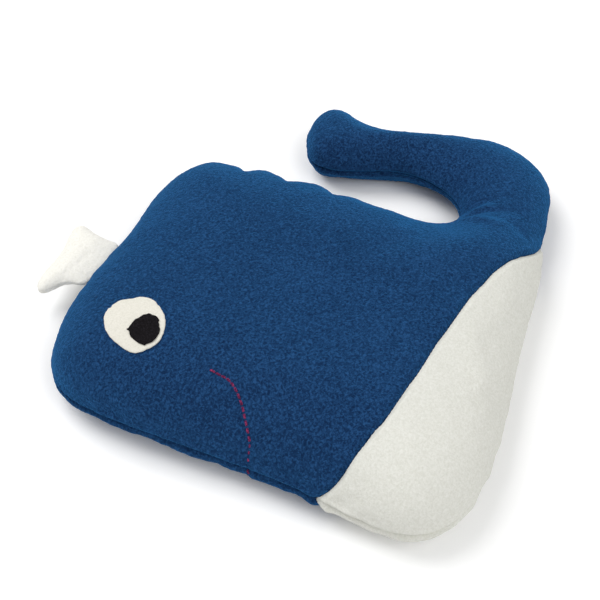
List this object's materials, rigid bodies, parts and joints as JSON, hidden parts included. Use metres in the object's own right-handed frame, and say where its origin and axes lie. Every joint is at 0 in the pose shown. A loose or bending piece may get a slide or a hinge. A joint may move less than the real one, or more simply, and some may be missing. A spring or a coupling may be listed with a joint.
{
  "type": "plush whale",
  "caption": "Flat stuffed whale of blue fleece lying on its side, with a white belly, a hooked tail, a two-lobed spout, felt eyes and a stitched mouth.",
  "frame": {"origin": "on the floor under the middle of the toy's box", "axes": "the whale lies on its right side and faces -X, the top of its head is towards +Y, and its left side is up, +Z"},
  "size_m": [0.3718, 0.3618, 0.0643],
  "materials": {
    "blue_fleece": "matt dark blue polar fleece with a pebbled pile",
    "white_fleece": "matt off-white polar fleece",
    "spout_fleece": "matt white polar fleece",
    "eye_fleece": "matt cream fleece, cut by hand",
    "black_felt": "matt black felt with a ragged edge",
    "stuffing": "loose polyester fibre",
    "red_thread": "doubled cotton thread",
    "blue_thread": "sewing thread, sunk in the pile"
  },
  "bodies": {
    "body": {"left_body_panel": "blue_fleece", "right_body_panel": "blue_fleece", "left_belly_panel": "white_fleece", "right_belly_panel": "white_fleece", "body_filling": "stuffing", "edge_seam_thread": "blue_thread", "left_belly_seam_thread": "blue_thread", "right_belly_seam_thread": "blue_thread", "left_eye_white": "eye_fleece", "right_eye_white": "eye_fleece", "left_eye_pupil": "black_felt", "right_eye_pupil": "black_felt", "left_mouth_stitches": "red_thread", "right_mouth_stitches": "red_thread"},
    "tail": {"left_tail_panel": "blue_fleece", "right_tail_panel": "blue_fleece", "tail_filling": "stuffing", "tail_seam_thread": "blue_thread"},
    "spout": {"left_spout_panel": "spout_fleece", "right_spout_panel": "spout_fleece", "spout_filling": "stuffing"}
  },
  "joints": [
    {"name": "tail_bend", "type": "hinge", "parent": "body", "child": "tail", "pos_m": [0.09043, -0.10523, 0.021], "axis": [-0.2334, 0.9724, 0], "range_deg": [-30, 30], "stiffness_Nm_per_rad": 0.1},
    {"name": "spout_bend", "type": "hinge", "parent": "body", "child": "spout", "pos_m": [-0.06959, 0.14229, 0.021], "axis": [1, 0, 0], "range_deg": [-60, 60], "stiffness_Nm_per_rad": 0.005}
  ]
}
